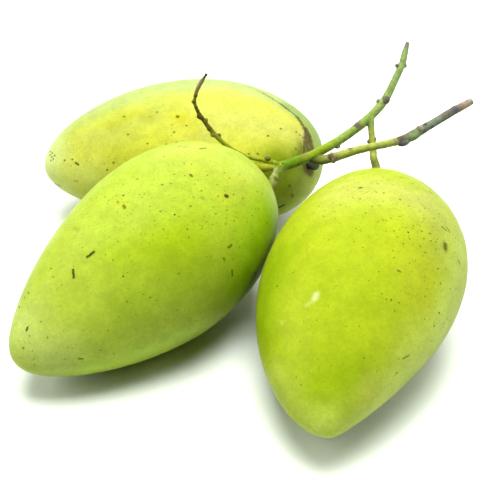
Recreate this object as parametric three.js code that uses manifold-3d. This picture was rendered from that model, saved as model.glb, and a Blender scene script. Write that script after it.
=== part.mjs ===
// Three mangoes picked as one bunch, lying on a table with the stalk that joins them.
// Millimetres, +Z up. The origin is on the table, under the middle of the bunch.
import * as THREE from "three";
import { mergeVertices } from "three/addons/utils/BufferGeometryUtils.js";
import Module from "manifold-3d";

// The fruits. Each one has its stem end at -X of its own frame, its width along Y and its thickness along Z.
// "shoulder" above zero puts the widest part nearer to the stem, and "waist" fills or slims both ends.
// The skew values change these on the +Y side only, and take as much off on the -Y side.
// "bend" bows the whole fruit and "beak" bends its tip, both as shares of its width.
// "seat" is where the pedicel enters, as angles in degrees: off the stem end, and round the axis from +Y.
const FRUITS = {
  mango_left: {
    length: 136, width: 79.9, thickness: 69.8,
    shoulder: 0.26, waist: -0.04, shoulderSkew: -0.08, waistSkew: -0.02, bend: -0.012, beak: 0.11,
    x: -37.2, y: -15.7, yaw: 219.5, pitch: 9.4, roll: -21.5,
    seat: [5, 0], colour: 0xb4dc28,
  },
  mango_right: {
    length: 139, width: 81.9, thickness: 67.6,
    shoulder: 0.23, waist: -0.11, shoulderSkew: 0.19, waistSkew: -0.05, bend: 0.019, beak: 0,
    x: 46.4, y: -34.2, yaw: 256, pitch: 8.6, roll: 4.8,
    seat: [0, 0], colour: 0xc3e61e,
  },
  mango_rear: {
    length: 139, width: 79.8, thickness: 66.4,
    shoulder: 0.16, waist: 0.01, shoulderSkew: 0.08, waistSkew: 0.04, bend: 0.037, beak: 0.13,
    x: -20, y: 68.7, yaw: 176.7, pitch: -0.1, roll: -11.7,
    seat: [25.5, 35], colour: 0xd8e04a,
  },
};
const STEM_SHARE = 0.42; // share of the length between the stem end and the fruit's own origin
const FLAT_DEPTH = 0.6; // how far the weight of a fruit presses its skin flat
const BASIN_DEPTH = 1.4; // hollow of the skin round the pedicel
const BASIN_RADIUS = 5.5;
const SOCKET_DEPTH = 3.5; // how deep the pedicel stands in the fruit
const SOCKET_GAP = 0.35; // clearance round the pedicel and at its end
const TABLE_SPAN = 400; // block that cuts the fruits flat where they rest
const TABLE_DEPTH = 20;

// The branches of the stalk: points along each one, [x, y, z, diameter of the branch there].
const BRANCHES = {
  green: [
    [15.5, 26.2, 50.4, 4.7], [21.8, 29.2, 51, 4.7], [29.1, 32, 52.6, 4.6], [36.3, 34.6, 55.5, 4.3],
    [44.5, 38.6, 58.9, 4.2], [52.6, 42.2, 63.8, 4.4], [57.9, 45.2, 67.6, 4.1], [63, 48.6, 72.7, 3.9],
    [67.4, 53.2, 80.2, 3.5], [70.5, 56.6, 86.2, 3.3], [71.8, 59.1, 90.9, 3], [73.1, 61.6, 95.4, 1.8],
  ],
  brown: [
    [27.9, 31, 50.9, 4.4], [33.1, 30.1, 51, 4.5], [39.1, 29.1, 53.5, 4.4], [44.7, 28.6, 55.8, 3.9],
    [50.7, 28.2, 58.1, 3.7], [57.7, 28.2, 59.8, 3.5], [64.7, 29, 61.1, 3.6], [70.2, 30.6, 61.9, 4.3],
    [75.5, 32.2, 64, 4.5], [79.9, 33.6, 66.2, 4.1], [85.1, 35, 68.9, 3.8], [91.2, 36.6, 72.3, 3.8],
    [97.2, 38.2, 75.2, 3.6], [100.7, 39.2, 76.8, 3],
  ],
  twig: [
    [15, 26.6, 50.6, 2.8], [7.4, 27.6, 52.8, 2.2], [3, 28.1, 53.4, 1.9], [-2.4, 28.6, 55, 1.8],
    [-7.7, 29.4, 57.8, 1.9], [-11.6, 30, 60.5, 2.1], [-15.2, 31, 63.4, 2.2], [-18.3, 32, 66.9, 2.1],
    [-21.2, 33, 70.8, 1.8], [-22.9, 33.8, 74.3, 1.6], [-23.9, 34.3, 77.9, 1.4], [-23.4, 34.6, 81.1, 1.4],
    [-22, 34.6, 84.9, 1.8], [-20.2, 34.6, 88.5, 1.9], [-18.4, 34.2, 91.7, 0.9],
  ],
  stub: [
    [15, 26.4, 50.3, 2.8], [10.8, 26.2, 49.9, 3.3], [7.6, 25.9, 49.8, 3.9], [4.8, 25.6, 50.3, 3.7],
    [3.4, 25.5, 50.9, 2.6],
  ],
};
// The pedicels: the same kind of points, from the stalk down to the fruit that each one enters.
const PEDICELS = {
  mango_left: [[15.4, 26.2, 50.3, 4.2], [13.4, 24.3, 48.6, 4.2], [11.5, 22.4, 47.1, 4.3]],
  mango_right: [
    [56.3, 43.4, 66.3, 3.4], [56.5, 42, 63.6, 3.2], [56.8, 40.2, 60.5, 3], [57.2, 37.8, 56.6, 3.2],
    [57.6, 35, 52.9, 3.4], [57.9, 32, 50.4, 3.6],
  ],
  mango_rear: [[27.9, 31.6, 51.8, 4.3], [27.8, 36, 49.6, 4.2], [28.4, 41, 45.6, 4.3]],
};
const PEDICEL_FOOT = 4.6; // diameter where a pedicel meets its fruit
const PEDICEL_NECK = 4.1; // diameter a short run above the fruit
const PEDICEL_RUN = 3.5; // length of the straight end above the fruit

// Knobs that stand out of a branch: [x, y, z, radius across the branch, half length along it].
const KNOBS = {
  green: [
    [25.5, 29.6, 53.1, 1.5, 2.3], [40.2, 34.9, 56.1, 1.6, 1.9], [50.2, 40.8, 64.1, 1.7, 1.6],
    [54.4, 42.4, 64.3, 1.2, 1.6], [63, 47.6, 73, 1.9, 2], [59.8, 48.2, 72.2, 1.2, 1.4],
    [68.4, 56.4, 86.1, 1.1, 1.1], [71.8, 56.6, 86, 1.1, 1.1],
  ],
  brown: [
    [38.7, 29.1, 53.5, 2.5, 1.4], [45.4, 29, 57.3, 1.3, 3.2], [69.9, 30, 60.9, 2.3, 2.9],
    [67.6, 30.2, 63, 1, 1.4], [77.2, 32.4, 65.7, 2, 2.1], [80.5, 33.2, 67.3, 1.8, 1.8],
    [93.8, 37.2, 74.4, 1.7, 2],
  ],
  twig: [
    [8.5, 27, 54.5, 1.7, 1.7], [4.5, 27.8, 54.4, 0.9, 1.1], [-12.9, 30.6, 63.5, 1.1, 1.4],
    [-15.9, 30.8, 62.8, 1.1, 1.4], [-17.5, 31.8, 66.1, 1.2, 1.3], [-18.9, 32.8, 69.6, 1, 1.3],
    [-21.8, 33, 71.4, 1, 1.3], [-24.2, 34, 76.9, 0.8, 1.1], [-23.2, 34.6, 82.2, 0.9, 1.1],
  ],
  mango_right: [[57.9, 38.4, 57.8, 1.1, 1.2], [55.9, 38, 56.8, 1, 1.1]],
};

// How finely the surfaces are cut.
const FRUIT_SIDES = 32;
const FRUIT_RINGS = 24;
const BRANCH_SIDES = 10;
const BRANCH_STEP = 3.2;

const STALK_COLOUR = 0x86a53c;

const wasm = await Module();
wasm.setup();

// A closed three.js geometry as a manifold solid.
function toSolid(geometry) {
  const bare = geometry.clone();
  bare.deleteAttribute("normal");
  bare.deleteAttribute("uv");
  const merged = mergeVertices(bare, 1e-4);
  return new wasm.Manifold(new wasm.Mesh({
    numProp: 3,
    vertProperties: new Float32Array(merged.attributes.position.array),
    triVerts: new Uint32Array(merged.index.array),
  }));
}

// A manifold solid as a named mesh whose own origin is at "centre".
function toMesh(name, solid, centre, material) {
  const { vertProperties, triVerts } = solid.getMesh();
  const geometry = new THREE.BufferGeometry();
  geometry.setAttribute("position", new THREE.BufferAttribute(new Float32Array(vertProperties), 3));
  geometry.setIndex(new THREE.BufferAttribute(new Uint32Array(triVerts), 1));
  geometry.translate(-centre.x, -centre.y, -centre.z);
  geometry.computeVertexNormals();
  const mesh = new THREE.Mesh(geometry, material);
  mesh.name = name;
  mesh.position.copy(centre);
  return mesh;
}

// How wide the section of a fruit is at an angle from its stem end, on the side given by -1 to 1.
function swell(fruit, angle, side) {
  const shoulder = fruit.shoulder + fruit.shoulderSkew * side;
  const waist = fruit.waist + fruit.waistSkew * side;
  return 1 + shoulder * Math.cos(angle) + waist * Math.cos(2 * angle);
}

// The largest half section of an unskewed fruit, by which the others are measured.
function widest(fruit) {
  let most = 0;
  for (let step = 0; step <= 180; step += 1) {
    const angle = (step * Math.PI) / 180;
    most = Math.max(most, Math.sin(angle) * swell(fruit, angle, 0));
  }
  return most;
}

// Moves a point of the unit sphere, stem end at +Y, to the skin of the fruit in the fruit's own frame.
function toSkin(fruit, point, most) {
  const angle = Math.acos(THREE.MathUtils.clamp(point.y, -1, 1));
  const side = point.x / Math.max(Math.sin(angle), 1e-6);
  const share = (1 - point.y) / 2;
  const section = swell(fruit, angle, side) / (2 * most);
  const bow = fruit.width * (fruit.beak * share ** 3 - fruit.bend * 4 * share * (1 - share));
  return point.set(
    fruit.length * (share - STEM_SHARE),
    bow + fruit.width * section * point.x,
    fruit.thickness * section * point.z,
  );
}

// Builds the skin of a fruit, turned and set on the table, and finds its pedicel's seat.
function growFruit(fruit) {
  const degrees = Math.PI / 180;
  const turn = new THREE.Matrix4().makeRotationFromEuler(
    new THREE.Euler(fruit.roll * degrees, fruit.pitch * degrees, fruit.yaw * degrees, "ZYX"),
  );
  const most = widest(fruit);
  const geometry = new THREE.SphereGeometry(1, FRUIT_SIDES, FRUIT_RINGS);
  const skin = geometry.attributes.position;
  const point = new THREE.Vector3();
  let lowest = Infinity;
  for (let i = 0; i < skin.count; i += 1) {
    toSkin(fruit, point.fromBufferAttribute(skin, i), most).applyMatrix4(turn);
    skin.setXYZ(i, point.x, point.y, point.z);
    lowest = Math.min(lowest, point.z);
  }
  const centre = new THREE.Vector3(fruit.x, fruit.y, -lowest - FLAT_DEPTH);
  geometry.translate(centre.x, centre.y, centre.z);

  const off = fruit.seat[0] * degrees;
  const round = fruit.seat[1] * degrees;
  const onSphere = new THREE.Vector3(
    Math.sin(off) * Math.cos(round), Math.cos(off), Math.sin(off) * Math.sin(round),
  );
  const seat = toSkin(fruit, onSphere, most).applyMatrix4(turn).add(centre);
  const inward = centre.clone().sub(seat).normalize();
  for (let i = 0; i < skin.count; i += 1) {
    point.fromBufferAttribute(skin, i);
    const away = point.distanceTo(seat) / BASIN_RADIUS;
    point.addScaledVector(inward, BASIN_DEPTH * Math.exp(-away * away));
    skin.setXYZ(i, point.x, point.y, point.z);
  }
  seat.addScaledVector(inward, BASIN_DEPTH);
  return { geometry, centre, seat, inward };
}

// The smooth curve through the points of a branch.
function curveThrough(points) {
  const places = points.map(([x, y, z]) => new THREE.Vector3(x, y, z));
  return new THREE.CatmullRomCurve3(places, false, "centripetal");
}

// A round bar bent along the curve of a branch, as thick as its points say and "extra" wider on every side.
function growBranch(points, extra = 0) {
  const curve = curveThrough(points);
  const steps = Math.max(3, Math.round(curve.getLength() / BRANCH_STEP));
  const frames = curve.computeFrenetFrames(steps);
  const geometry = new THREE.CylinderGeometry(1, 1, 1, BRANCH_SIDES, steps);
  const skin = geometry.attributes.position;
  const point = new THREE.Vector3();
  for (let i = 0; i < skin.count; i += 1) {
    point.fromBufferAttribute(skin, i);
    const ring = Math.round((0.5 - point.y) * steps);
    const share = curve.getUtoTmapping(ring / steps) * (points.length - 1);
    const before = Math.min(Math.floor(share), points.length - 2);
    const thickness = THREE.MathUtils.lerp(points[before][3], points[before + 1][3], share - before);
    const reach = thickness / 2 + extra;
    const place = curve.getPointAt(ring / steps)
      .addScaledVector(frames.normals[ring], point.x * reach)
      .addScaledVector(frames.binormals[ring], point.z * reach);
    skin.setXYZ(i, place.x, place.y, place.z);
  }
  return toSolid(geometry);
}

// The unit direction in which a branch runs where it passes closest to a place.
function directionNear(points, place) {
  const curve = curveThrough(points);
  const shares = Array.from({ length: 101 }, (_, i) => i / 100);
  const distance = (share) => curve.getPointAt(share).distanceTo(place);
  const nearest = shares.reduce((best, share) => (distance(share) < distance(best) ? share : best));
  return curve.getTangentAt(nearest);
}

// An egg-shaped knob, lying along the branch that it stands out of.
function growKnob(branch, [x, y, z, radius, half]) {
  const along = directionNear(branch, new THREE.Vector3(x, y, z));
  const geometry = new THREE.IcosahedronGeometry(1, 1);
  geometry.scale(radius, half, radius);
  geometry.applyQuaternion(new THREE.Quaternion().setFromUnitVectors(new THREE.Vector3(0, 1, 0), along));
  geometry.translate(x, y, z);
  return toSolid(geometry);
}

// The points of a pedicel with its straight end, which stands in the fruit to the given depth.
function pedicelPoints(name, fruit, depth) {
  const end = (distance, thickness) => {
    const place = fruit.seat.clone().addScaledVector(fruit.inward, distance);
    return [place.x, place.y, place.z, thickness];
  };
  return [...PEDICELS[name], end(-PEDICEL_RUN, PEDICEL_NECK), end(0, PEDICEL_FOOT), end(depth, PEDICEL_FOOT)];
}

function buildBunch() {
  const bunch = new THREE.Group();
  const block = new THREE.BoxGeometry(TABLE_SPAN, TABLE_SPAN, TABLE_DEPTH);
  const table = toSolid(block.translate(0, 0, -TABLE_DEPTH / 2));
  const branches = Object.values(BRANCHES).map((points) => growBranch(points));
  const knobs = Object.entries(KNOBS).flatMap(
    ([name, list]) => list.map((knob) => growKnob(BRANCHES[name] ?? PEDICELS[name], knob)),
  );
  let stalk = wasm.Manifold.union([...branches, ...knobs]);

  for (const [name, shape] of Object.entries(FRUITS)) {
    const fruit = growFruit(shape);
    const socket = growBranch(pedicelPoints(name, fruit, SOCKET_DEPTH + SOCKET_GAP), SOCKET_GAP);
    const solid = toSolid(fruit.geometry).subtract(table).subtract(socket);
    const skin = new THREE.MeshStandardMaterial({ color: shape.colour, roughness: 0.42, metalness: 0 });
    bunch.add(toMesh(name, solid, fruit.centre, skin));
    stalk = stalk.add(growBranch(pedicelPoints(name, fruit, SOCKET_DEPTH)));
  }

  const bark = new THREE.MeshStandardMaterial({ color: STALK_COLOUR, roughness: 0.7, metalness: 0 });
  const fork = new THREE.Vector3(...BRANCHES.green[0].slice(0, 3));
  bunch.add(toMesh("stalk", stalk, fork, bark));
  return bunch;
}

export default buildBunch();
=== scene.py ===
"""Dresses a bunch of mangoes: three speckled waxy fruits, and the forked stalk that holds them together."""

import math
from collections import namedtuple

import bmesh
import bpy
from bpy.props import FloatProperty, FloatVectorProperty, PointerProperty
from mathutils import Euler, Matrix, Quaternion, Vector, noise
from mathutils.bvhtree import BVHTree
from mathutils.kdtree import KDTree


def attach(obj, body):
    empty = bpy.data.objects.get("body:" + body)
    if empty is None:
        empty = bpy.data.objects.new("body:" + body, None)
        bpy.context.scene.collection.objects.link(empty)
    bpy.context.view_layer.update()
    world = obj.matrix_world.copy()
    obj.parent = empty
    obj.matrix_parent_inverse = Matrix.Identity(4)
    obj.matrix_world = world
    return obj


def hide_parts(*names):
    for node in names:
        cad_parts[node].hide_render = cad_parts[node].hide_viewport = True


bl_info = {
    "name": "Mango Bunch",
    "version": (1, 0, 0),
    "blender": (4, 5, 0),
    "location": "3D View > Sidebar > Mangoes",
    "description": "Builds a bunch of mangoes on their stalk, with waxy speckled skins and bark",
    "category": "Add Mesh",
}

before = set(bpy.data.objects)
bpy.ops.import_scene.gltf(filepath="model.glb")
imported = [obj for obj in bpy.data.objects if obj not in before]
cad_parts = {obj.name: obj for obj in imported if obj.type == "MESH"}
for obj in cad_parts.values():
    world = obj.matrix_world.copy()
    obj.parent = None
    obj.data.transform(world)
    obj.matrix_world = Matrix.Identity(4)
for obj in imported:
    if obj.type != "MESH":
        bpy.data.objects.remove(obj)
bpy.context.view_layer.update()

MM = 0.001  # the drawing below is in millimetres, Blender's objects are in metres

# The viewpoint. It looks level with +Y, tilted down, at a point on the table behind the origin.
VIEW_TARGET = Vector((-2.8, 39.1, -0.6))
VIEW_DISTANCE = 466
VIEW_TILT = math.radians(35)
PICTURE_WIDTH = 484  # pixels, and the picture is square
FOCAL_PIXELS = 938
SENSOR_WIDTH = 36

# How each fruit grew, as in the solids: the fullness of its ends, the skew of its +Y side, its bow and
# beak, then its place and turn, and where its pedicel sits.
Growth = namedtuple("Growth", "shoulder waist shoulder_skew waist_skew bend beak x y yaw pitch roll seat")
GROWTH = {
    "left": Growth(0.26, -0.04, -0.08, -0.02, -0.012, 0.11, -37.2, -15.7, 219.5, 9.4, -21.5, (5, 0)),
    "right": Growth(0.23, -0.11, 0.19, -0.05, 0.019, 0, 46.4, -34.2, 256, 8.6, 4.8, (0, 0)),
    "rear": Growth(0.16, 0.01, 0.08, 0.04, 0.037, 0.13, -20, 68.7, 176.7, -0.1, -11.7, (25.5, 35)),
}
STEM_SHARE = 0.42  # of the length, from the stem end to the fruit's own origin
FLAT_DEPTH = 0.6  # how much the resting spot flattens the skin
BASIN_DEPTH = 1.4  # of the hollow round the pedicel
BASIN_RADIUS = 5.5
SOCKET_DEPTH = 3.5
SKIN_FINENESS = 7  # one more than the times that an icosphere's faces are cut
SWELL_HEIGHT = 0.22  # soft unevenness of the skin
SWELL_SPAN = 26
FINE_HEIGHT = 0.4  # of the finer unevenness, as a share of the broad one
FINE_SPAN = 0.3
SWELL_SINK = 0.5  # keeps the uneven skin close to the solid

# Colours of skin, scars and bark.
TONES = {
    "sunny_lime": "#8a942d",
    # painted shade for the left fruit's side next to the right fruit
    "deep_green": "#6f9003",
    "mid_green": "#6c820a",
    "pale_tip": "#93a152",
    # painted bounce light on the left fruit's underside
    "underside": "#95ae3a",
    "lemon": "#8f933c",
    # painted shade for the right fruit's side next to the left fruit
    "edge_green": "#637e02",
    # painted rim light on the lower edges of the right and rear fruits
    "rim_green": "#9aa946",
    "mint": "#859352",
    "deep_mint": "#6c8242",
    "straw_green": "#89913f",
    "cream_green": "#abb452",
    # greener skin of the rear fruit's stem end, with painted shade below the stalk
    "shade_green": "#798916",
    "gold": "#959312",
    "amber": "#858812",
    "beige": "#9b955d",
    "blush": "#95913c",
    "lime_band": "#7e930a",
    # paler yellow with painted reflection at the right fruit's upper right edge
    "pale_lemon": "#868d42",
    "cream_yellow": "#9a9c4d",
    "pale_skin": "#869055",
    "pale_end": "#a7b574",
    "soft_green": "#7e8d23",
    # wax bloom with painted sheen
    "bloom": "#95a33f",
    # painted reflection of the bright surroundings on the right fruit's right edge
    "rim_lemon": "#8a983e",
    # painted bounce light on the rear fruit beside the left fruit
    "butter": "#adaf38",
    # painted shade in the dip beside the stem end
    "hollow": "#575f12",
    "twig_dark": "#3c380a",
    "twig_olive": "#6c6a1d",
    "twig_tip": "#7c6f50",
    # painted shade along the left fruit's rim next to the right fruit
    "rim_shade": "#3f6102",
    # painted shade under the stalk and between the parts
    "deep_shade": "#57670a",
    "dull_lemon": "#7c842d",
    "crust": "#605735",
    "wax": "#aaaf7c",
    "dark_scab": "#323307",
    "brown_scab": "#4f4d0a",
    "pale_scab": "#716e2c",
    "sap": "#433d20",
    "pink_scar": "#5f4a30",
    "fresh": "#4d6907",
    "stem_green": "#6c7e19",
    "stem_mid": "#6f853a",
    "stem_pale": "#758648",
    "stem_grey": "#73874f",
    "withered": "#5d5f57",
    # painted shade: bark darkened where it lies in shade under the green branch
    "shade_stem": "#27340d",
    "olive_stem": "#555f24",
    "straw": "#82893c",
    "plum": "#5d5449",
    "moss_bark": "#5f7148",
    "tan_bark": "#6f6552",
    "moss_grey": "#616a59",
    "blue_bark": "#484b51",
    "pink_bark": "#7e6e5d",
    "ash": "#7e7d6e",
    "twig_green": "#737c16",
    "twig_brown": "#504b0a",
    "black_bark": "#2d2812",
    "pale_stub": "#6e7532",
    "wedge": "#7d801f",
    "node_brown": "#4d3f24",
    "rust": "#695729",
    "round_scar": "#4d4640",
}


def named_rows(kind, groups):
    """Turns the plain rows of each group into named ones."""
    return {name: [kind(*row) for row in rows] for name, rows in groups.items()}


# A patch or mark runs between two points of the picture, and lies on the skin that is seen there. Its
# radius and its blur are in millimetres.
Patch = namedtuple("Patch", "tone start end radius blur strength")
Mark = namedtuple("Mark", "kind start end radius strength")
NARROW = 2.5  # radius up to which a patch keeps close to its place

PATCHES = named_rows(Patch, {
    "left": (
        ("sunny_lime", (200, 160), (250, 182), 11, 14, 0.9),
        # Wax bloom and painted sheen: the pale upper edges of the left fruit.
        ("bloom", (165, 152), (225, 148), 4, 9, 0.7),
        ("bloom", (246, 168), (270, 200), 5, 8, 0.75),
        ("soft_green", (40, 300), (75, 270), 8, 12, 0.8),
        ("lime_band", (240, 215), (185, 245), 11, 14, 0.85),
        ("lime_band", (185, 245), (125, 262), 6, 12, 0.8),
        # Painted shade: the left fruit's side next to the right fruit, darkest along its rim.
        ("deep_green", (268, 215), (240, 275), 9, 12, 1),
        ("rim_shade", (277, 222), (271, 246), 1, 3.5, 0.9),
        ("rim_shade", (271, 246), (255, 276), 1.6, 4, 0.95),
        ("rim_shade", (255, 276), (238, 302), 1.2, 4, 0.9),
        ("mid_green", (205, 285), (130, 300), 8, 13, 0.55),
        ("mid_green", (236, 258), (165, 272), 5, 9, 0.45),
        ("pale_tip", (22, 325), (55, 358), 7, 13, 0.9),
        # Painted bounce light: the left fruit's underside, brightened as if lit from the table.
        ("underside", (90, 368), (195, 330), 4, 8, 0.9),
    ),
    "right": (
        ("lemon", (345, 190), (415, 198), 9, 14, 0.9),
        # Paler yellow skin with painted reflection at the upper right edge.
        ("pale_lemon", (426, 202), (444, 220), 7, 10, 0.95),
        ("mid_green", (350, 300), (315, 365), 14, 18, 0.35),
        # Painted shade: the right fruit's side next to the left fruit.
        ("edge_green", (274, 265), (266, 325), 7, 12, 0.9),
        ("mid_green", (352, 380), (335, 402), 8, 10, 0.8),
        ("amber", (425, 262), (420, 300), 6, 12, 0.5),
        ("dull_lemon", (438, 226), (444, 258), 5, 8, 0.8),
        ("mid_green", (318, 396), (334, 412), 5, 8, 0.5),
        # Painted reflection and painted rim light: the paler right and lower edges of the right fruit.
        ("rim_lemon", (458, 245), (450, 300), 6, 8, 0.95),
        ("rim_green", (442, 318), (392, 385), 7, 10, 0.95),
        ("rim_green", (278, 368), (300, 405), 3, 7, 0.45),
        ("rim_green", (385, 396), (325, 434), 6, 9, 0.95),
        ("blush", (370, 388), (376, 391), 3, 7, 0.4),
    ),
    "rear": (
        ("cream_yellow", (205, 118), (285, 132), 9, 20, 0.95),
        # Painted bounce light: the rear fruit brighter along its lower edge beside the left fruit.
        ("butter", (235, 150), (282, 154), 6, 9, 0.85),
        ("butter", (150, 135), (170, 128), 6, 10, 0.4),
        ("straw_green", (88, 136), (165, 112), 6, 10, 0.85),
        ("mint", (56, 142), (100, 104), 7, 8, 0.9),
        ("mint", (100, 104), (180, 82), 12, 8, 0.95),
        ("mint", (125, 102), (160, 96), 4, 7, 0.6),
        ("mint", (180, 82), (250, 83), 12, 9, 0.95),
        ("mint", (250, 83), (298, 108), 12, 4, 1),
        ("deep_mint", (290, 107), (312, 128), 5, 4, 0.8),
        ("mint", (334, 132), (336, 176), 9, 10, 0.8),
        ("deep_mint", (309, 126), (316, 146), 2.4, 3.5, 0.95),
        ("deep_mint", (302, 112), (320, 146), 5, 4, 0.9),
        ("deep_mint", (320, 150), (318, 180), 3, 4, 0.6),
        ("pale_end", (50, 152), (60, 188), 8, 10, 0.9),
        ("cream_green", (75, 180), (92, 180), 7, 9, 0.8),
        # Greener skin of the stem end with painted shade below the stalk, darkest where the stalk, the stub
        # and the left fruit shade it.
        ("shade_green", (280, 172), (296, 206), 14, 8, 0.95),
        ("deep_shade", (284, 169), (300, 177), 6.5, 8, 0.85),
        ("deep_shade", (262, 171), (272, 176), 2, 3, 0.9),
        # Painted rim light on the rear fruit's lower right edge.
        ("rim_green", (306, 182), (300, 204), 5, 7, 0.7),
        # Painted shade in the dip beside the rear fruit's stem end.
        ("hollow", (302, 146), (298, 157), 2.4, 3.5, 1),
        ("beige", (303, 132), (305, 143), 1.4, 2, 0.85),
        ("gold", (178, 118), (190, 124), 3, 6, 0.7),
        ("gold", (122, 117), (128, 118), 2, 4, 0.5),
        ("amber", (108, 126), (118, 124), 2, 4, 0.6),
        ("amber", (134, 113), (150, 117), 1.5, 4, 0.5),
    ),
})

# Where each skin has most pores.
SPECKLED = {
    "left": Patch("", (130, 190), (245, 225), 18, 22, 1),
    "right": Patch("", (360, 187), (442, 262), 17, 26, 1),
    "rear": Patch("", (55, 160), (120, 165), 4, 12, 1),
}

# Layers of pores: their spacing, radius and strength, and the share of them on plain and on speckled skin.
PORES = ((1.5, 0.32, 0.95, 0.24, 0.9), (1.15, 0.22, 0.6, 0.2, 0.9))
PORE_SHARE = {"left": 1, "right": 0.7, "rear": 0.4}  # how full of pores the plain skin of each fruit is
GRAIN_SIZES = (0.5, 1.25)  # smallest and largest, as shares of a layer's radius
GRAIN_STRENGTHS = (0.35, 1.0)
GRAIN_EDGE = (1.3, 0.4)  # where a grain ends and where it is full, as shares of its radius

CLOUD_RANGE = (0.3, 0.7)  # the values that a Noise texture mostly keeps to
DRIFT_SCALE = 0.05  # of the greener clouds in the skin
DRIFT_EDGE = (0.35, 0.68)

# Layers of finer clouds: scale, detail, and the darkest and lightest shade.
PEEL_SHADES = ((0.16, 3.0, 0.93, 1.07), (0.75, 3.0, 0.94, 1.06), (2.6, 2.0, 0.93, 1.07))

# How far a skin's drawing wanders: the scale of the wandering, and its reach in millimetres. Dried sap is
# torn, marks and narrow patches are ragged, and broad patches are loose.
WANDERS = {"loose": (0.035, 16.0), "ragged": (0.9, 0.8), "torn": (0.6, 3.0)}

# The kinds of marks in the order in which they are painted, each with its tone.
SCAB_TONES = {
    "gold": "gold", "pale": "pale_scab", "brown": "brown_scab", "sap": "sap", "scar": "pink_scar",
    "crust": "crust", "dark": "dark_scab", "wax": "wax",
}
STAINS = ("gold", "wax")  # kinds that colour the skin and leave it smooth
WAX_BLUR = 0.9
MARK_BLUR = 0.15  # of the other kinds
MARK_SOFTNESS = 0.35  # what each millimetre of radius adds to that
SPOT_LENGTH = 0.4  # pixels
FLAKE_SCALE = 1.1  # of the paler flakes in the dried sap
FLAKE_EDGE = (0.52, 0.64)

MARKS = named_rows(Mark, {
    "left": (
        ("gold", (222, 194), (229, 199), 1.6, 0.3),
        ("gold", (117, 201), (125, 205), 1.8, 0.25),
        ("dark", (226.2, 196), (226.8, 196.2), 0.95, 1),
        ("dark", (87.6, 256.8), (93.4, 252.2), 0.6, 1),
        ("dark", (73, 269.8), (73.8, 277.4), 0.5, 1),
        ("dark", (190.2, 174.8), (191.8, 176.2), 0.6, 0.85),
        ("brown", (200, 148.8), (206, 148), 0.5, 0.95),
        ("brown", (123.4, 205.4), (124.8, 207.8), 0.6, 0.9),
        ("brown", (117.4, 201.6), (118.2, 202.6), 0.5, 0.6),
        ("brown", (228.6, 247.4), (231.6, 245), 0.5, 0.95),
        ("brown", (223.6, 258.6), (224.6, 259.6), 0.5, 0.85),
        ("dark", (232, 270.6), (232.2, 275.6), 0.42, 0.9),
        ("dark", (26.4, 330.4), (27.6, 327.6), 0.5, 0.95),
        ("brown", (79.2, 358.8), (82.4, 358.8), 0.42, 0.9),
        ("pale", (201.6, 197.6), (203.4, 198.4), 0.7, 0.6),
        ("pale", (74, 228), (78, 230.4), 0.9, 0.4),
        ("pale", (227, 152.4), (232, 155.6), 0.5, 0.5),
        ("brown", (177.6, 147), (181.4, 145.8), 0.34, 0.85),
        ("brown", (183.6, 147.6), (187.4, 146.4), 0.32, 0.75),
    ),
    "right": (
        ("pale", (445, 244.6), (445, 249), 1.9, 0.4),
        ("brown", (445.4, 244.8), (445.2, 248.4), 1.1, 1),
        ("brown", (441.7, 226.7), (446.7, 230.8), 0.36, 0.95),
        ("brown", (447, 227.6), (449.7, 232), 0.36, 0.85),
        ("brown", (398, 270.6), (400.6, 271.8), 0.42, 0.9),
        ("brown", (429.6, 191.6), (432, 193), 0.42, 0.9),
        ("dark", (359.6, 187.8), (361.4, 187.8), 0.55, 0.95),
        ("pale", (458.6, 261), (459.6, 263), 0.7, 0.8),
        ("pale", (447, 319), (455, 327), 0.3, 0.7),
        ("wax", (314.6, 298.4), (316.2, 294.6), 1.2, 0.6),
        ("wax", (306, 305.4), (312, 301), 0.5, 0.3),
        ("wax", (281.6, 322.6), (282.4, 323.4), 0.4, 0.3),
        ("brown", (403, 358.6), (409, 355.6), 0.36, 0.75),
    ),
    "rear": (
        ("gold", (177.6, 117), (183, 118.6), 1.6, 0.7),
        ("brown", (177.3, 116.5), (177.9, 116.7), 0.75, 0.95),
        ("brown", (123.7, 116.4), (124.4, 116.8), 0.6, 0.75),
        ("dark", (75.6, 162.8), (78.4, 164.6), 0.5, 0.95),
        ("scar", (56, 184), (60, 186), 0.8, 0.5),
        ("scar", (74.6, 180.6), (77.4, 181.4), 0.6, 0.4),
        ("dark", (280, 207), (283.8, 205), 0.75, 1),
        ("brown", (292, 195), (293, 196.4), 0.7, 0.8),
        ("brown", (289.2, 185.8), (289.8, 186.4), 0.8, 0.6),
        ("sap", (243.8, 85.6), (262.5, 93), 0.3, 0.55),
        ("sap", (262.5, 93), (282.5, 105.6), 0.6, 0.75),
        ("sap", (260, 88.6), (287, 103), 0.4, 0.45),
        ("sap", (282.5, 105.6), (297.5, 117.5), 0.85, 0.85),
        ("sap", (297.5, 117.5), (305.6, 130), 1.25, 0.9),
        ("sap", (305.8, 130), (309.6, 138), 2.2, 1),
        ("sap", (308, 139), (310, 148), 3.4, 0.95),
        ("sap", (304.6, 141), (304, 151), 1.1, 0.9),
        ("sap", (308, 132.6), (303.6, 136.6), 0.5, 0.7),
        ("crust", (308.4, 145.4), (309.4, 147.4), 0.8, 0.9),
        ("crust", (312, 144.4), (312.6, 145.4), 0.6, 0.8),
        ("crust", (305.4, 139), (305.8, 140.4), 0.4, 0.7),
        # Dark sap stain under the stalk, which also paints the stalk's shade there.
        ("sap", (305, 165.4), (313, 165.6), 1.9, 0.95),
        ("crust", (306.4, 168.2), (310.4, 171.4), 2.6, 0.95),
    ),
})

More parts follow.
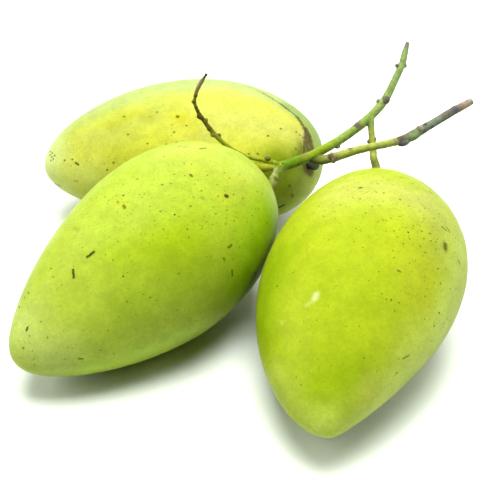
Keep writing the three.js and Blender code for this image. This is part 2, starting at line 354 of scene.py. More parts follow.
# Scattered round spots of one kind and radius, at the places that the picture shows.
Spots = namedtuple("Spots", "kind radius strength places")
SPOTS = {
    "left": (
        Spots("dark", 0.36, 0.95, (
            (123.2, 195.4), (137.2, 179), (162, 184.5), (190.5, 206.2), (174.5, 214.7), (255.2, 273),
            (50.8, 268.7), (28.3, 292.7), (19.2, 307), (23.2, 348), (123, 276.3))),
        Spots("brown", 0.3, 0.9, (
            (173.8, 174.2), (184.7, 175.5), (170.8, 183.7), (207.2, 175), (224.2, 172.8), (229.5, 178),
            (239.5, 174.7), (217.2, 184.7), (201.2, 190.8), (217.7, 196.3), (233.3, 194.2),
            (242.8, 198.5), (256.8, 191.8), (262.2, 193.7), (160, 211.3), (215.8, 213.8), (226.8, 210),
            (233.7, 220.8), (225.3, 223.8), (258.5, 209), (252, 215.5), (266.7, 222.5), (163.3, 229.3),
            (202.3, 226), (187, 229.2), (163.8, 156.5), (184.2, 163.8), (191.3, 164.2), (53, 277),
            (24.2, 297.5), (178.4, 273.4), (150, 297.6))),
    ),
    "right": (
        Spots("dark", 0.34, 0.95, (
            (277, 286), (391, 300), (396.6, 373), (439, 313), (434, 326), (421.7, 231.2), (429.7, 233.5),
            (376.2, 192), (383.8, 193), (408, 232.2), (399.7, 199.2))),
        Spots("brown", 0.3, 0.9, (
            (360, 198.8), (423.7, 218.2), (434, 218.5), (423.7, 238.5), (430.8, 240.8), (436, 241.7),
            (435.8, 249.3), (413.3, 225.8), (409.7, 238.8), (403, 243.7), (437.5, 268.7), (440.7, 283.7),
            (450.3, 288.7), (455.3, 238), (438.8, 213.8), (424.7, 208.3), (412.5, 183.3))),
        Spots("brown", 0.32, 0.75, (
            (382.5, 177), (401, 177.5), (389, 180), (417.5, 188.8), (393, 185), (405, 188.8),
            (377.5, 183.8), (371, 182.5), (382.5, 220), (390.5, 218), (400, 216.3), (393.8, 231),
            (386, 220.6), (397.5, 236.8), (362.5, 247.5), (393, 251), (378.8, 271.8), (409.5, 263.3),
            (393.8, 257.5), (425, 296.3), (398.8, 302.5), (352.5, 197.5), (347.5, 190), (353.8, 187),
            (340, 205), (318.8, 206.3), (323.8, 216.3), (366, 192.4), (372, 206.6), (365.6, 213),
            (409, 206), (418.4, 199.6), (446, 269), (420, 246), (424.6, 252.4))),
    ),
    "rear": (
        Spots("dark", 0.42, 0.95, (
            (173.8, 132.2), (127.8, 134.4), (64.6, 160.2), (72, 159.4), (107, 170), (280.6, 128.8),
            (267.8, 136))),
        Spots("brown", 0.46, 0.9, (
            (50, 151.5), (52, 153), (49.8, 155), (51.4, 157), (53, 159), (50.6, 160.5), (54.6, 155.6),
            (186.4, 125.6), (157, 112.2), (147.2, 143.6), (166.4, 144.4), (176.6, 142.4), (113.4, 162.6),
            (296, 132), (299.6, 135), (248.8, 153.8), (257.5, 153.8), (295.6, 148.8))),
    ),
}

# The wax of the skins, and what shines through it.
SKIN_SURFACE = {
    "IOR": 1.45, "Specular IOR Level": 0.07, "Subsurface Weight": 0.12,
    "Subsurface Radius": (1.0, 0.9, 0.3), "Subsurface Scale": 0.003,
}
SKIN_ROUGHNESS = (0.36, 0.46)  # of the waxiest and of the dullest skin
SCAB_ROUGHNESS = 0.3  # what a scab adds
SKIN_BUMP = 0.25
SKIN_RELIEF = 0.00018  # metres, for a scab
PEEL_RELIEF = 0.5  # share of that for the grain of the peel
PORE_RELIEF = 0.4

# The branches of the stalk: points along each one, with the diameter and the bark there.
Point = namedtuple("Point", "x y z thickness tone")
BRANCHES = named_rows(Point, {
    "green": (
        (15.5, 26.2, 50.4, 4.7, "fresh"), (21.8, 29.2, 51, 4.7, "fresh"),
        (29.1, 32, 52.6, 4.6, "stem_green"), (36.3, 34.6, 55.5, 4.3, "stem_green"),
        (44.5, 38.6, 58.9, 4.2, "stem_mid"), (52.6, 42.2, 63.8, 4.4, "stem_mid"),
        (57.9, 45.2, 67.6, 4.1, "stem_pale"), (63, 48.6, 72.7, 3.9, "stem_pale"),
        (67.4, 53.2, 80.2, 3.5, "stem_grey"), (70.5, 56.6, 86.2, 3.3, "stem_grey"),
        (71.8, 59.1, 90.9, 3, "stem_grey"), (73.1, 61.6, 95.4, 1.8, "withered"),
    ),
    "brown": (
        # The first point is darkened as painted shade under the green branch.
        (27.9, 31.6, 51.4, 3.6, "shade_stem"), (33.1, 30.2, 51.3, 4.3, "olive_stem"),
        (39.1, 29.1, 53.5, 4.4, "straw"), (44.7, 28.6, 55.8, 3.9, "straw"),
        (50.7, 28.2, 58.1, 3.7, "straw"), (57.7, 28.2, 59.8, 3.5, "straw"),
        (64.7, 29, 61.1, 3.6, "straw"), (70.2, 30.6, 61.9, 4.3, "plum"),
        (75.5, 32.2, 64, 4.5, "moss_bark"), (79.9, 33.6, 66.2, 4.1, "moss_grey"),
        (85.1, 35, 68.9, 3.8, "moss_grey"), (91.2, 36.6, 72.3, 3.8, "plum"),
        (97.2, 38.2, 75.2, 3.6, "pink_bark"), (100.7, 39.2, 76.8, 3, "ash"),
    ),
    "twig": (
        (15, 26.6, 50.6, 2.8, "twig_green"), (7.4, 27.6, 52.8, 2.2, "twig_green"),
        (3, 28.1, 53.4, 1.9, "twig_green"), (-2.4, 28.6, 55, 1.8, "twig_green"),
        (-7.7, 29.4, 57.8, 1.9, "twig_green"), (-11.5, 30.1, 60.7, 2.1, "twig_green"),
        (-14.8, 31.2, 63.7, 2.2, "twig_olive"), (-17.8, 32.2, 67.2, 2.1, "twig_brown"),
        (-20.6, 33.3, 71.2, 1.8, "twig_brown"), (-22.6, 33.9, 74.4, 1.6, "twig_brown"),
        (-23.8, 34.3, 77.9, 1.5, "twig_olive"), (-23.6, 34.6, 81.1, 1.5, "twig_olive"),
        (-22.3, 34.7, 85, 1.8, "twig_tip"), (-20.4, 34.7, 88.6, 1.9, "twig_tip"),
        (-18.5, 34.3, 91.8, 0.9, "black_bark"),
    ),
    "stub": (
        (15, 26.4, 50.3, 2.8, "wedge"), (10.8, 26.2, 49.9, 3.3, "wedge"), (7.6, 25.9, 49.8, 3.9, "wedge"),
        (4.8, 25.6, 50.3, 3.7, "wedge"), (3.4, 25.5, 50.9, 2.6, "wedge"),
    ),
})
PEDICELS = named_rows(Point, {
    "left": (
        (15.6, 26.2, 50.3, 4.8, "fresh"), (13.8, 24.1, 48.4, 4.9, "pale_stub"),
        (12.2, 22, 46.6, 5, "pale_stub"),
    ),
    "right": (
        (56.3, 43.4, 66.3, 3.4, "stem_mid"), (56.5, 42, 63.6, 3.2, "stem_pale"),
        (56.8, 40.2, 60.5, 3, "straw"), (57.2, 37.8, 56.6, 3.2, "straw"), (57.6, 35, 52.9, 3.4, "straw"),
        (57.9, 32, 50.4, 3.6, "straw"),
    ),
    # The rear pedicel is darkened as painted shade under the green branch.
    "rear": (
        (27.9, 31.6, 51.8, 4.3, "shade_stem"), (27.8, 36, 49.6, 4.2, "shade_stem"),
        (28.4, 41, 45.6, 4.3, "shade_stem"),
    ),
})
PEDICEL_NECK = 4.1  # thickness just outside the fruit
PEDICEL_FOOT = 4.6  # thickness in the fruit
PEDICEL_RUN = 3.5  # from the neck to the foot

# Knobs that stand out of a branch: where, how far they reach across it and along it, and their bark.
Knob = namedtuple("Knob", "branch x y z radius half tone")
KNOBS = [Knob(*row) for row in (
    ("green", 50.2, 41, 63.7, 1.4, 2, "plum"), ("green", 56.8, 43.2, 64.8, 0.9, 1, "node_brown"),
    ("green", 63.4, 47.3, 73.1, 1.7, 1.9, "round_scar"), ("green", 60, 48.2, 72.1, 1.1, 1.3, "withered"),
    ("green", 68.4, 56.4, 86.1, 1.1, 1.1, "round_scar"),
    ("green", 71.9, 56.6, 86, 1.1, 1.1, "round_scar"), ("brown", 38.4, 29, 53.3, 2.75, 1.4, "tan_bark"),
    ("brown", 45.6, 29, 57, 1.3, 2.6, "straw"), ("brown", 70.1, 29.6, 61, 1.9, 3.2, "blue_bark"),
    ("brown", 74.4, 31.4, 63.2, 2.2, 4.2, "moss_bark"), ("brown", 67.8, 30.2, 62.8, 0.7, 1.1, "plum"),
    ("brown", 77.4, 32.6, 65.9, 1.9, 1.8, "pink_bark"), ("brown", 92.8, 37, 73.7, 1.7, 2.2, "blue_bark"),
    ("twig", 8.9, 27.6, 53.8, 1.4, 1.4, "node_brown"), ("twig", -13.1, 31.4, 63.6, 0.9, 1, "twig_dark"),
    ("twig", -16, 31.1, 64, 1.1, 1.3, "twig_olive"), ("twig", -17.5, 31.9, 66.5, 1.1, 1.2, "twig_dark"),
    ("twig", -18.9, 33.2, 70.3, 0.9, 1, "twig_olive"), ("twig", -22, 33.3, 72, 1.1, 1.3, "twig_dark"),
    ("twig", -20.9, 33.2, 71.3, 1, 1.2, "twig_dark"), ("twig", -22.6, 33.9, 74.4, 0.95, 1, "twig_dark"),
    ("twig", -23.3, 34.1, 76.1, 0.9, 0.9, "twig_dark"), ("twig", -24.3, 34.4, 78.8, 1, 1, "twig_dark"),
    ("twig", -23.3, 34.6, 81.7, 0.95, 1, "twig_dark"), ("twig", -22, 34.7, 85.7, 1, 1.4, "twig_tip"),
    ("twig", -18.4, 34.3, 91.8, 0.8, 0.7, "black_bark"), ("green", 41.1, 35.5, 55.7, 1.3, 1.4, "plum"),
    ("right", 58.1, 38.4, 57.8, 1.1, 1.2, "rust"), ("right", 55.6, 38, 56.6, 0.9, 1.1, "plum"),
)]

# Flat scars and stains of the bark.
Scar = namedtuple("Scar", "x y z radius tone")
SCARS = [Scar(*row) for row in (
    (25.5, 30.2, 53.6, 1.1, "rust"), (27, 30.4, 54.6, 0.7, "tan_bark"), (50.2, 41.2, 64.4, 1.3, "plum"),
    (55, 42.2, 62.6, 1, "withered"), (37.6, 28, 54.4, 1.6, "node_brown"),
    (40.2, 27.8, 54.8, 1.2, "tan_bark"), (46.1, 28.6, 58.4, 1.2, "rust"),
    (66.2, 28.2, 62.2, 1.1, "tan_bark"), (68.3, 29.1, 63.4, 1.4, "node_brown"),
    (63.5, 47, 73.5, 1.7, "round_scar"), (71.2, 31.2, 64.2, 1.2, "plum"), (73.8, 32, 65.6, 1.2, "plum"),
    (76, 32.6, 67, 1, "plum"), (79, 31.2, 65.6, 1.1, "blue_bark"), (79.6, 33.2, 68, 0.9, "black_bark"),
    (81.3, 35, 68.7, 1.3, "tan_bark"), (82.6, 32.8, 66.8, 1.1, "blue_bark"),
    (92, 36.2, 73.2, 1.3, "blue_bark"), (94.8, 36.9, 75.2, 1, "tan_bark"),
    (97.2, 37.2, 75.4, 1.7, "pink_bark"), (98, 39, 77.4, 0.7, "black_bark"),
    (100.4, 38.4, 77, 1.5, "ash"), (13.3, 25.9, 52, 1.3, "fresh"), (10.8, 26.2, 52.6, 0.8, "fresh"),
    (56.3, 40.4, 61.6, 0.6, "node_brown"), (8.9, 27, 55.2, 0.8, "rust"),
    (12.2, 19.7, 47.5, 1, "twig_brown"), (10.6, 22, 48.4, 1.6, "pale_skin"),
    # The two fresh scars at the end of this row darken the left pedicel's right half: painted shade.
    (12, 24, 49.8, 1.4, "pale_skin"), (14.7, 21.7, 48.7, 1.5, "fresh"), (14.1, 20.6, 45.9, 1.4, "fresh"),
    (73.1, 61.6, 95.6, 0.9, "withered"),
)]

BRANCH_SIDES = 20
BRANCH_STEP = 0.6
STALK_VOXEL = 0.24
SMOOTH_ROUNDS = 3
GIRTH_CHANGE = 0.05  # how much a branch swells and thins
GIRTH_SPAN = 2.5

# The bark: its fine relief, its colours, and the stains round its knobs and scars.
BARK_HEIGHT = 0.07
BARK_SPAN = 0.8
BARK_SURFACE = {"IOR": 1.45, "Specular IOR Level": 0.2}
BARK_ROUGHNESS = (0.45, 0.7)
BARK_MOTTLE = (0.72, 1.2)  # darkest and lightest shade
BARK_SPECKS = {"Spacing": 0.9, "Size": 0.16, "Share": 0.5}
SPECK_STRENGTH = 0.5
BARK_BUMP = 0.4
BARK_RELIEF = 0.0001  # metres
TONE_BLEND = 0.2  # how close to a point its own tone rules
STAIN_WANDER = 0.5  # how far the edge of a stain wanders
STAIN_SPAN = 0.9
STAIN_REACH = 1.2  # times the size of its knob or scar
STAIN_EDGE = 0.4
STAIN_STRENGTH = 0.9

# Soft square lamps, all aimed at the bunch: where each hangs, its side and power, and if skins mirror it.
Lamp = namedtuple("Lamp", "place side watts mirrored")
LAMPS = {
    "overhead_panel": Lamp((0, 0, 1.5), 1, 55, False),
    "back_panel": Lamp((0, 1.8, 1.2), 1.5, 22, True),
    "left_panel": Lamp((-1.7, 0, 1.2), 1.5, 33, True),
    "right_panel": Lamp((1.7, 0, 1.2), 1.5, 20, True),
    "corner_panel": Lamp((1.2, 1.2, 1.2), 1, 8, True),
}
LAMP_AIM = Vector((0, 0.02, 0.03))
FLOOR_RADIUS = 6000
FLOOR_ROUGHNESS = 0.6
FLOOR_SHADE = 0.98  # of the darker parts of the table
FLOOR_SCALE = 0.004


# Settings that a user would change

ABOUT = {
    "Length": "From the stem end to the tip",
    "Width": "Across the widest part, lying on its side",
    "Thickness": "From cheek to cheek",
    "Skin": "Main colour of the skin",
    "Deep": "Colour of the greener clouds in the skin",
    "Fleck": "Colour of the finest spots",
    "Floor": "Colour of the table",
    "Sky tint": "Colour of the surroundings, greened by the fruits",
}


def size(name, default):
    """A length property, given in millimetres."""
    return FloatProperty(name=name, description=ABOUT[name], default=default * MM, min=0, unit="LENGTH")


def colour(name, default):
    """A colour property, given as a hex colour."""
    return FloatVectorProperty(
        name=name, description=ABOUT[name], default=linear(default), min=0, max=1, subtype="COLOR", size=3)


def linear(hex_colour):
    """The linear red, green and blue of a hex colour."""
    parts = [int(hex_colour[i:i + 2], 16) / 255 for i in (1, 3, 5)]
    return tuple(p / 12.92 if p <= 0.04045 else ((p + 0.055) / 1.055) ** 2.4 for p in parts)


class LeftFruitSettings(bpy.types.PropertyGroup):
    """Size and skin of the left fruit"""
    length: size("Length", 136)
    width: size("Width", 79.9)
    thickness: size("Thickness", 69.8)
    skin: colour("Skin", "#889830")
    deep: colour("Deep", "#82942b")
    fleck: colour("Fleck", "#525607")


class RightFruitSettings(bpy.types.PropertyGroup):
    """Size and skin of the right fruit"""
    length: size("Length", 139)
    width: size("Width", 81.9)
    thickness: size("Thickness", 67.6)
    skin: colour("Skin", "#849116")
    deep: colour("Deep", "#7e8d14")
    fleck: colour("Fleck", "#595107")


class RearFruitSettings(bpy.types.PropertyGroup):
    """Size and skin of the rear fruit"""
    length: size("Length", 139)
    width: size("Width", 79.8)
    thickness: size("Thickness", 66.4)
    skin: colour("Skin", "#9a9d2f")
    deep: colour("Deep", "#949a2b")
    fleck: colour("Fleck", "#655f12")


class BunchSettings(bpy.types.PropertyGroup):
    """The whole bunch and its stage"""
    left: PointerProperty(type=LeftFruitSettings)
    right: PointerProperty(type=RightFruitSettings)
    rear: PointerProperty(type=RearFruitSettings)
    floor: colour("Floor", "#cfd5cd")
    light: FloatProperty(name="Light", description="Brightness of the lamps, 1 as drawn", default=1, min=0)
    sky_tint: colour("Sky tint", "#ffffa0")
    sky: FloatProperty(name="Sky", description="Brightness of the surroundings", default=0.1, min=0)


# The viewpoint, and the places that its picture shows

def view_axes():
    """Where the viewpoint is, and its forward and upward directions, in millimetres."""
    forward = Vector((0, math.cos(VIEW_TILT), -math.sin(VIEW_TILT)))
    upward = Vector((0, math.sin(VIEW_TILT), math.cos(VIEW_TILT)))
    return VIEW_TARGET - forward * VIEW_DISTANCE, forward, upward


def seen_at(skin, pixel):
    """The place on a skin that the picture shows at a pixel, in millimetres."""
    eye, forward, upward = view_axes()
    half = PICTURE_WIDTH / 2
    across = Vector((1, 0, 0)) * ((pixel[0] - half) / FOCAL_PIXELS)
    direction = forward + across + upward * ((half - pixel[1]) / FOCAL_PIXELS)
    place = skin.ray_cast(eye, direction.normalized())[0]
    if place is None:
        place = skin.find_nearest(eye + direction * VIEW_DISTANCE)[0]
    return place


# Shader nodes

def put(tree, kind, inputs=None, **settings):
    """Adds a node with its settings, and gives its inputs their values or links."""
    made = tree.nodes.new(kind)
    for name, value in settings.items():
        setattr(made, name, value)
    for key, value in (inputs or {}).items():
        if isinstance(value, bpy.types.NodeSocket):
            tree.links.new(value, made.inputs[key])
        else:
            made.inputs[key].default_value = value
    return made


def calculate(tree, operation, *values):
    """A Math node's result, with its inputs in order."""
    return put(tree, "ShaderNodeMath", dict(enumerate(values)), operation=operation).outputs[0]


def measure(tree, operation, *values):
    """A Vector Math node, with its inputs in order."""
    return put(tree, "ShaderNodeVectorMath", dict(enumerate(values)), operation=operation)


def scaled(tree, vector, factor):
    """A vector times a factor."""
    return put(tree, "ShaderNodeVectorMath", {0: vector, 3: factor}, operation="SCALE").outputs[0]


def ramp(tree, value, low, high, to_low=0.0, to_high=1.0):
    """A smooth step of a value from one range to another."""
    inputs = {0: value, 1: low, 2: high, 3: to_low, 4: to_high}
    return put(tree, "ShaderNodeMapRange", inputs, interpolation_type="SMOOTHSTEP").outputs[0]


def tint(tree, share, base, top, blend="MIX"):
    """Mixes one colour over another."""
    def paint(value):
        return value if isinstance(value, bpy.types.NodeSocket) else (*value[:3], 1)
    inputs = {0: share, 6: paint(base), 7: paint(top)}
    return put(tree, "ShaderNodeMix", inputs, data_type="RGBA", blend_type=blend).outputs[2]


def clouds(tree, place, scale, detail=2.0, roughness=0.5):
    """A Noise texture at a place."""
    inputs = {"Vector": place, "Scale": scale, "Detail": detail, "Roughness": roughness}
    return put(tree, "ShaderNodeTexNoise", inputs, noise_dimensions="3D")


def drifting(tree, cloud, low, high):
    """A value that drifts between two limits with a Noise texture."""
    return ramp(tree, cloud.outputs[0], *CLOUD_RANGE, low, high)


def shaded(tree, base, shade):
    """A colour made darker or lighter by a factor."""
    grey = put(tree, "ShaderNodeCombineColor", {0: shade, 1: shade, 2: shade}).outputs[0]
    return tint(tree, 1.0, base, grey, "MULTIPLY")


def node_group(name, vectors, numbers, result):
    """An empty shader group with its vectors, its numbers and its one result, and its inner ends."""
    tree = bpy.data.node_groups.new(name, "ShaderNodeTree")
    sockets = [(label, "INPUT") for label in vectors + numbers] + [(result, "OUTPUT")]
    for label, end in sockets:
        kind = "NodeSocketVector" if label in vectors else "NodeSocketFloat"
        tree.interface.new_socket(name=label, in_out=end, socket_type=kind)
    return tree, tree.nodes.new("NodeGroupInput").outputs, tree.nodes.new("NodeGroupOutput").inputs


def stroke_group():
    """Mask of a soft stroke between two places: a dot, a dash, a streak or a broad patch."""
    tree, given, result = node_group(
        "Skin Stroke", ("Place", "Start", "End"), ("Radius", "Blur", "Strength"), "Mask")
    reach = measure(tree, "SUBTRACT", given["End"], given["Start"]).outputs[0]
    away = measure(tree, "SUBTRACT", given["Place"], given["Start"]).outputs[0]
    along = calculate(
        tree, "DIVIDE", measure(tree, "DOT_PRODUCT", away, reach).outputs[1],
        measure(tree, "DOT_PRODUCT", reach, reach).outputs[1])
    share = put(tree, "ShaderNodeClamp", {0: along}).outputs[0]
    foot = scaled(tree, reach, share)
    distance = measure(tree, "LENGTH", measure(tree, "SUBTRACT", away, foot).outputs[0]).outputs[1]
    edge = calculate(tree, "DIVIDE", calculate(tree, "SUBTRACT", distance, given["Radius"]), given["Blur"])
    mask = ramp(tree, edge, 1.0, -1.0)
    tree.links.new(calculate(tree, "MULTIPLY", mask, given["Strength"]), result["Mask"])
    return tree


def fleck_group():
    """Mask of the breathing pores: at most one grain in each cell, of uneven size and strength."""
    tree, given, result = node_group("Skin Flecks", ("Place",), ("Spacing", "Size", "Share"), "Grain")
    scale = calculate(tree, "DIVIDE", 1.0, given["Spacing"])
    cells = put(tree, "ShaderNodeTexVoronoi", {"Vector": given["Place"], "Scale": scale, "Randomness": 1.0})
    distance = calculate(tree, "MULTIPLY", cells.outputs["Distance"], given["Spacing"])
    luck = put(tree, "ShaderNodeSeparateColor", {0: cells.outputs["Color"]})
    present = calculate(tree, "LESS_THAN", luck.outputs[0], given["Share"])
    radius = calculate(tree, "MULTIPLY", given["Size"], ramp(tree, luck.outputs[1], 0.0, 1.0, *GRAIN_SIZES))
    strength = ramp(tree, luck.outputs[2], 0.0, 1.0, *GRAIN_STRENGTHS)
    strength = calculate(tree, "MULTIPLY", strength, present)
    grain = ramp(tree, calculate(tree, "DIVIDE", distance, radius), *GRAIN_EDGE)
    tree.links.new(calculate(tree, "MULTIPLY", grain, strength), result["Grain"])
    return tree


def wander_group():
    """Shifts a place by a cloudy amount, so that what is drawn there has an uneven edge."""
    tree, given, result = node_group("Wander", ("Place",), ("Scale", "Amount"), "Place")
    cloud = clouds(tree, given["Place"], given["Scale"], 3.0, 0.6).outputs["Color"]
    centred = measure(tree, "SUBTRACT", cloud, (0.5, 0.5, 0.5)).outputs[0]
    shift = scaled(tree, centred, given["Amount"])
    tree.links.new(measure(tree, "ADD", given["Place"], shift).outputs[0], result["Place"])
    return tree


def group(name):
    """The named shader group, built the first time that it is asked for."""
    builders = {"Skin Stroke": stroke_group, "Skin Flecks": fleck_group, "Wander": wander_group}
    return bpy.data.node_groups.get(name) or builders[name]()


def use(tree, name, inputs):
    """Places a shader group in a material, with its own values."""
    return put(tree, "ShaderNodeGroup", inputs, node_tree=group(name))


def new_material(name):
    """A material with its node tree, its Principled shader and the place in millimetres."""
    material = bpy.data.materials.new(name)
    material.use_nodes = True
    tree = material.node_tree
    place = scaled(tree, put(tree, "ShaderNodeTexCoord").outputs["Object"], 1 / MM)
    return material, tree, tree.nodes["Principled BSDF"], place


# The fruits

def swell(growth, angle, side):
    """How wide the section is at an angle from the stem end, on the side given by -1 to 1."""
    shoulder = growth.shoulder + growth.shoulder_skew * side
    waist = growth.waist + growth.waist_skew * side
    return 1 + shoulder * math.cos(angle) + waist * math.cos(2 * angle)


def widest(growth):
    """The largest half section of the unskewed fruit."""
    return max(math.sin(math.radians(step)) * swell(growth, math.radians(step), 0) for step in range(181))


def skin_point(growth, settings, point, most):
    """Where a point of the unit sphere, stem end at +Y, lies on the skin, in the fruit's own frame."""
    angle = math.acos(max(-1, min(1, point.y)))
    side = point.x / max(math.sin(angle), 1e-6)
    share = (1 - point.y) / 2
    section = swell(growth, angle, side) / (2 * most)
    length, width, thickness = (getattr(settings, name) / MM for name in ("length", "width", "thickness"))
    bow = width * (growth.beak * share ** 3 - growth.bend * 4 * share * (1 - share))
    along = length * (share - STEM_SHARE)
    return Vector((along, bow + width * section * point.x, thickness * section * point.z))


class FruitForm:
    """The skin of one fruit in millimetres, with the seat of its pedicel."""

    def __init__(self, name, settings):
        growth = GROWTH[name]
        turns = [math.radians(angle) for angle in (growth.roll, growth.pitch, growth.yaw)]
        self.turn = Euler(turns, "XYZ").to_matrix()
        most = widest(growth)
        self.mesh = bmesh.new()
        bmesh.ops.create_icosphere(self.mesh, subdivisions=SKIN_FINENESS, radius=1)
        for vertex in self.mesh.verts:
            vertex.co = self.turn @ skin_point(growth, settings, vertex.co, most)
        lowest = min(vertex.co.z for vertex in self.mesh.verts)
        self.centre = Vector((growth.x, growth.y, -lowest - FLAT_DEPTH))
        bmesh.ops.translate(self.mesh, verts=self.mesh.verts, vec=self.centre)
        off, around = (math.radians(a) for a in growth.seat)
        on_sphere = (math.sin(off) * math.cos(around), math.cos(off), math.sin(off) * math.sin(around))
        self.seat = self.turn @ skin_point(growth, settings, Vector(on_sphere), most) + self.centre
        self.inward = (self.centre - self.seat).normalized()
        self.wear()
        self.seat += self.inward * BASIN_DEPTH
        self.skin = BVHTree.FromBMesh(self.mesh)

    def wear(self):
        """Hollows the basin round the pedicel, adds the soft unevenness and flattens the resting spot."""
        self.mesh.normal_update()
        for vertex in self.mesh.verts:
            away = (vertex.co - self.seat).length / BASIN_RADIUS
            fine = noise.noise(vertex.co / (SWELL_SPAN * FINE_SPAN))
            soft = noise.noise(vertex.co / SWELL_SPAN) + FINE_HEIGHT * fine
            vertex.co += self.inward * (BASIN_DEPTH * math.exp(-away * away))
            vertex.co += vertex.normal * (SWELL_HEIGHT * (soft - SWELL_SINK))
            vertex.co.z = max(vertex.co.z, 0)


def stroke(tree, place, form, drawn, blur):
    """Mask of a patch or mark, drawn on the skin between the two places that the picture shows."""
    return use(tree, "Skin Stroke", {
        "Place": place, "Start": seen_at(form.skin, drawn.start), "End": seen_at(form.skin, drawn.end),
        "Radius": float(drawn.radius), "Blur": float(blur), "Strength": float(drawn.strength)}).outputs[0]


def patched_skin(tree, name, settings, form, place, moved):
    """The cloudy green of a skin with its soft patches; some patches are painted shade, painted bounce
    light, painted reflection and painted sheen.
    """
    drift = ramp(tree, clouds(tree, place, DRIFT_SCALE, 4.0, 0.6).outputs[0], *DRIFT_EDGE)
    base = tint(tree, drift, settings.skin, settings.deep)
    for patch in PATCHES[name]:
        where = moved["loose" if patch.radius > NARROW else "ragged"]
        base = tint(tree, stroke(tree, where, form, patch, patch.blur), base, linear(TONES[patch.tone]))
    for scale, detail, low, high in PEEL_SHADES:
        base = shaded(tree, base, drifting(tree, clouds(tree, place, scale, detail, 0.6), low, high))
    return base


def pore_mask(tree, name, form, place, moved):
    """Mask of the layers of pores, which lie closest where the skin is speckled."""
    speckled = SPECKLED[name]
    share = stroke(tree, moved["loose"], form, speckled, speckled.blur)
    pores = None
    for spacing, radius, strength, low, high in PORES:
        density = ramp(tree, share, 0.0, 1.0, low * PORE_SHARE[name], high)
        layer = {"Place": place, "Spacing": spacing, "Size": radius, "Share": density}
        seen = calculate(tree, "MULTIPLY", use(tree, "Skin Flecks", layer).outputs[0], strength)
        pores = seen if pores is None else calculate(tree, "MAXIMUM", pores, seen)
    return pores


def scabbed_skin(tree, name, form, moved, base):
    """The skin with its spots, scars and dried sap, and the mask of the rough ones."""
    marks = list(MARKS[name])
    for spots in SPOTS[name]:
        for x, y in spots.places:
            marks.append(Mark(spots.kind, (x, y), (x + SPOT_LENGTH, y), spots.radius, spots.strength))
    rough = None
    for kind, tone in SCAB_TONES.items():
        where = moved["torn" if kind == "sap" else "ragged"]
        whole = None
        for mark in (mark for mark in marks if mark.kind == kind):
            blur = WAX_BLUR if kind == "wax" else MARK_BLUR + MARK_SOFTNESS * mark.radius
            mask = stroke(tree, where, form, mark, blur)
            whole = mask if whole is None else calculate(tree, "MAXIMUM", whole, mask)
        if whole is None:
            continue
        paint = linear(TONES[tone])
        if kind == "sap":
            flakes = ramp(tree, clouds(tree, where, FLAKE_SCALE, 3.0, 0.6).outputs[0], *FLAKE_EDGE)
            paint = tint(tree, flakes, paint, linear(TONES["crust"]))
        base = tint(tree, whole, base, paint)
        if kind not in STAINS:
            rough = whole if rough is None else calculate(tree, "MAXIMUM", rough, whole)
    return base, rough


def skin_material(name, settings, form):
    """Waxy speckled mango skin: cloudy green, soft patches, pores, scars and dried sap."""
    material, tree, shader, place = new_material(f"{name}_mango_skin")
    moved = {}
    for way, (scale, reach) in WANDERS.items():
        moved[way] = use(tree, "Wander", {"Place": place, "Scale": scale, "Amount": reach}).outputs[0]
    base = patched_skin(tree, name, settings, form, place, moved)
    pores = pore_mask(tree, name, form, place, moved)
    base = tint(tree, pores, base, settings.fleck)
    base, rough = scabbed_skin(tree, name, form, moved, base)
    tree.links.new(base, shader.inputs["Base Color"])

    waxy = drifting(tree, clouds(tree, place, 0.12, 3.0), *SKIN_ROUGHNESS)
    scabby = calculate(tree, "MULTIPLY", rough, SCAB_ROUGHNESS)
    tree.links.new(calculate(tree, "ADD", waxy, scabby), shader.inputs["Roughness"])
    grain = clouds(tree, place, 1.4, 3.0, 0.6).outputs[0]
    height = calculate(tree, "ADD", calculate(tree, "MULTIPLY", grain, PEEL_RELIEF), rough)
    height = calculate(tree, "ADD", height, calculate(tree, "MULTIPLY", pores, PORE_RELIEF))
    bump = put(tree, "ShaderNodeBump", {"Strength": SKIN_BUMP, "Distance": SKIN_RELIEF, "Height": height})
    tree.links.new(bump.outputs[0], shader.inputs["Normal"])
    for socket, value in SKIN_SURFACE.items():
        shader.inputs[socket].default_value = value
    return material


def to_object(name, mesh, material):
    """Turns a bmesh in millimetres into an object in metres, with its place in its mesh."""
    bmesh.ops.scale(mesh, vec=(MM, MM, MM), verts=mesh.verts)
    data = bpy.data.meshes.new(name)
    mesh.to_mesh(data)
    mesh.free()
    data.shade_smooth()
    made = bpy.data.objects.new(name, data)
    made.data.materials.append(material)
    bpy.context.scene.collection.objects.link(made)
    return made


class MANGO_OT_fruits(bpy.types.Operator):
    """Grows the three fruits, each with its own skin"""
    bl_idname = "mango.grow_fruits"
    bl_label = "Grow the fruits"

    def execute(self, context):
        slots = {"left": "lime_skin", "right": "bright_lime_skin", "rear": "yellow_skin"}
        for name, slot in slots.items():
            settings = getattr(context.scene.mango_bunch, name)
            form = FruitForm(name, settings)
            material = skin_material(name, settings, form)
            fruit = to_object(f"{name}_mango_fruit", form.mesh, material)
            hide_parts(f"mango_{name}")
            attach(fruit, "root")
        return {"FINISHED"}


# The stalk

Station = namedtuple("Station", "place thickness tone")


def bark_tone(drawn):
    """The linear colour of a point, knob or scar."""
    return Vector(linear(TONES[drawn.tone]))


def spline(points):
    """Places a short step apart on the smooth curve through the points of a branch."""
    places = [Vector(p[:3]) for p in points]
    places = [places[0] * 2 - places[1], *places, places[-1] * 2 - places[-2]]
    stations = []
    for i, (here, there) in enumerate(zip(points, points[1:])):
        before, start, end, after = places[i:i + 4]
        steps = max(1, round((end - start).length / BRANCH_STEP))
        for step in range(steps + (i == len(points) - 2)):
            t = step / steps
            place = 0.5 * (
                2 * start + (end - before) * t + (2 * before - 5 * start + 4 * end - after) * t ** 2
                + (3 * start - before - 3 * end + after) * t ** 3)
            thickness = here.thickness + (there.thickness - here.thickness) * t
            stations.append(Station(place, thickness, bark_tone(here).lerp(bark_tone(there), t)))
    return stations


